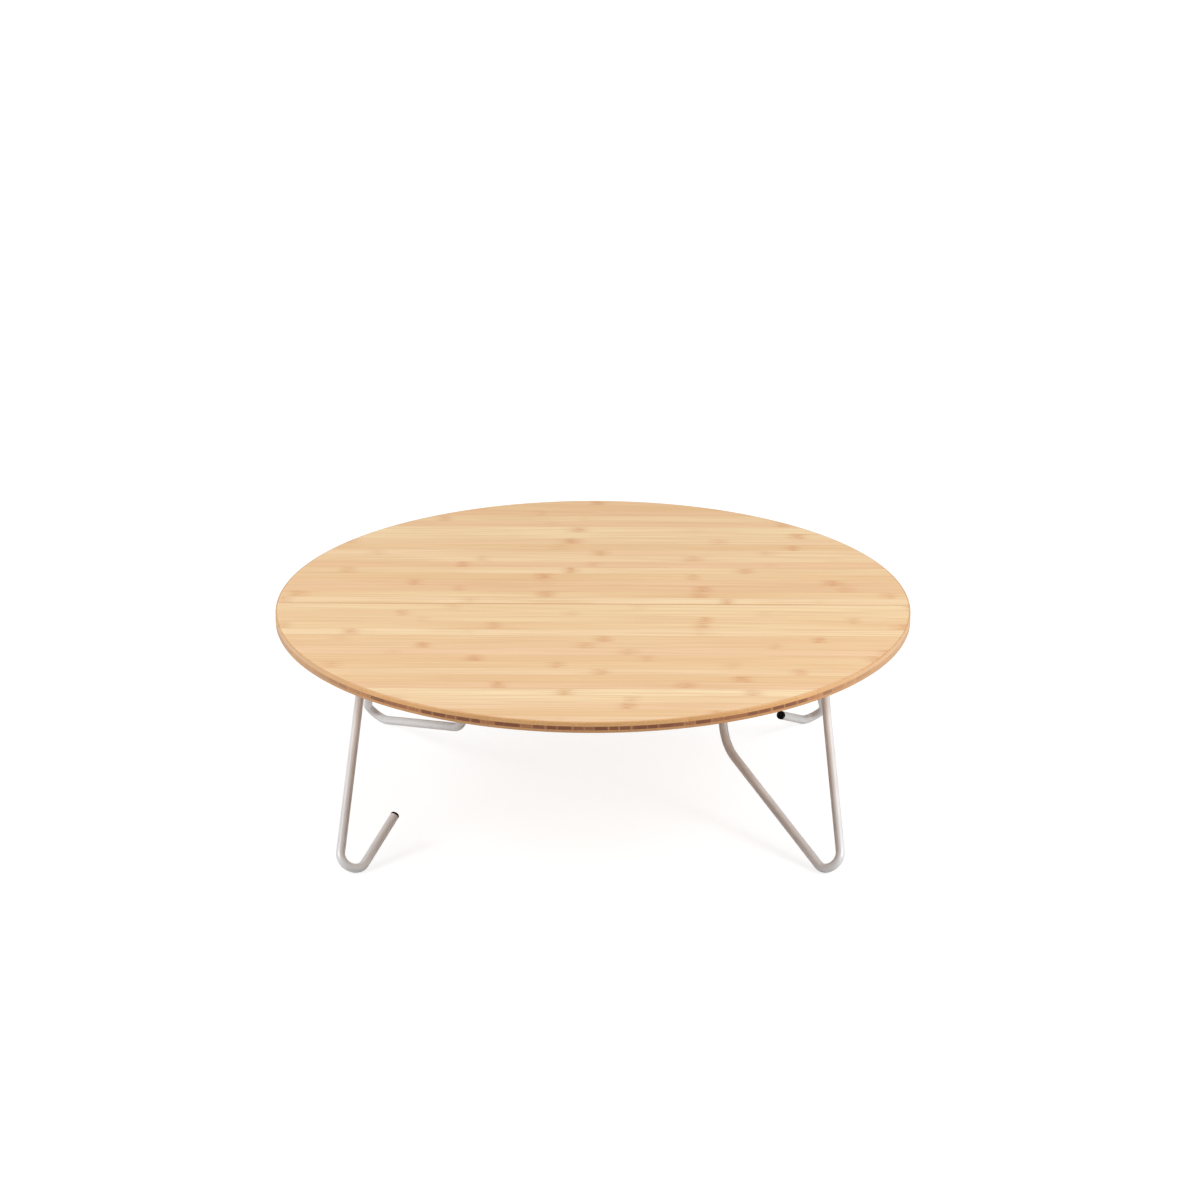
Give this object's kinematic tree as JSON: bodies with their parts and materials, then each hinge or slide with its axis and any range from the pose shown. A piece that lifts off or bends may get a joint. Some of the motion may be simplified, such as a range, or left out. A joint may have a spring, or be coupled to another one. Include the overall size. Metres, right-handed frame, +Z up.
{
  "type": "folding low table",
  "caption": "Low round folding table: a bamboo top split into hinged half-discs, on crossing bent-tube leg frames that close as the halves fold down.",
  "frame": {"origin": "on the floor under the centre of the round top", "axes": "+X along the seam, to the right seen from the front; +Y to the rear; +Z up"},
  "size_m": [0.855, 0.8548, 0.278],
  "materials": {
    "bamboo_face": "satin clear lacquer on pale bamboo strips",
    "bamboo_core": "lacquered cross-grain edge of steamed bamboo",
    "bamboo_back": "satin clear lacquer on bamboo strips",
    "painted_tube": "warm light grey powder coat",
    "black_plug": "moulded black plastic",
    "nylon": "natural nylon",
    "saddle_steel": "zinc-plated pressed steel",
    "screw_steel": "zinc-plated steel",
    "hinge_steel": "zinc-plated steel",
    "rivet_steel": "plated steel"
  },
  "bodies": {
    "rear_top": {"left_hinge_pin": "hinge_steel", "left_hinge_rear_leaf": "hinge_steel", "middle_hinge_pin": "hinge_steel", "middle_hinge_rear_leaf": "hinge_steel", "rear_back_ply": "bamboo_back", "rear_core_ply": "bamboo_core", "rear_face_ply": "bamboo_face", "rear_hinge_screws": "screw_steel", "rear_left_bush": "nylon", "rear_left_saddle": "saddle_steel", "rear_right_bush": "nylon", "rear_right_saddle": "saddle_steel", "rear_saddle_screws": "screw_steel", "right_hinge_pin": "hinge_steel", "right_hinge_rear_leaf": "hinge_steel"},
    "front_top": {"front_back_ply": "bamboo_back", "front_core_ply": "bamboo_core", "front_face_ply": "bamboo_face", "front_hinge_screws": "screw_steel", "front_left_bush": "nylon", "front_left_saddle": "saddle_steel", "front_right_bush": "nylon", "front_right_saddle": "saddle_steel", "front_saddle_screws": "screw_steel", "left_hinge_front_leaf": "hinge_steel", "middle_hinge_front_leaf": "hinge_steel", "right_hinge_front_leaf": "hinge_steel"},
    "outer_legs": {"left_pivot_washer": "nylon", "left_rivet_outer": "rivet_steel", "outer_end_plug": "black_plug", "outer_leg_frame": "painted_tube", "right_pivot_washer": "nylon", "right_rivet_outer": "rivet_steel"},
    "inner_legs": {"inner_end_plug": "black_plug", "inner_leg_frame": "painted_tube", "left_rivet_inner": "rivet_steel", "right_rivet_inner": "rivet_steel"}
  },
  "joints": [
    {"name": "top_fold", "type": "hinge", "parent": "rear_top", "child": "front_top", "pos_m": [0, 0, 0.2586], "axis": [1, 0, 0], "range_deg": [0, 134]},
    {"name": "outer_leg_fold", "type": "hinge", "parent": "rear_top", "child": "outer_legs", "pos_m": [0, 0.05, 0.251], "axis": [1, 0, 0], "range_deg": [0, 109.3]},
    {"name": "inner_leg_fold", "type": "hinge", "parent": "front_top", "child": "inner_legs", "pos_m": [0, -0.05, 0.251], "axis": [1, 0, 0], "range_deg": [-109.3, 0]}
  ],
  "couplings": [
    {"joint": "outer_leg_fold", "follows": "top_fold", "ratio": 0.81525},
    {"joint": "inner_leg_fold", "follows": "top_fold", "ratio": -0.81525}
  ]
}
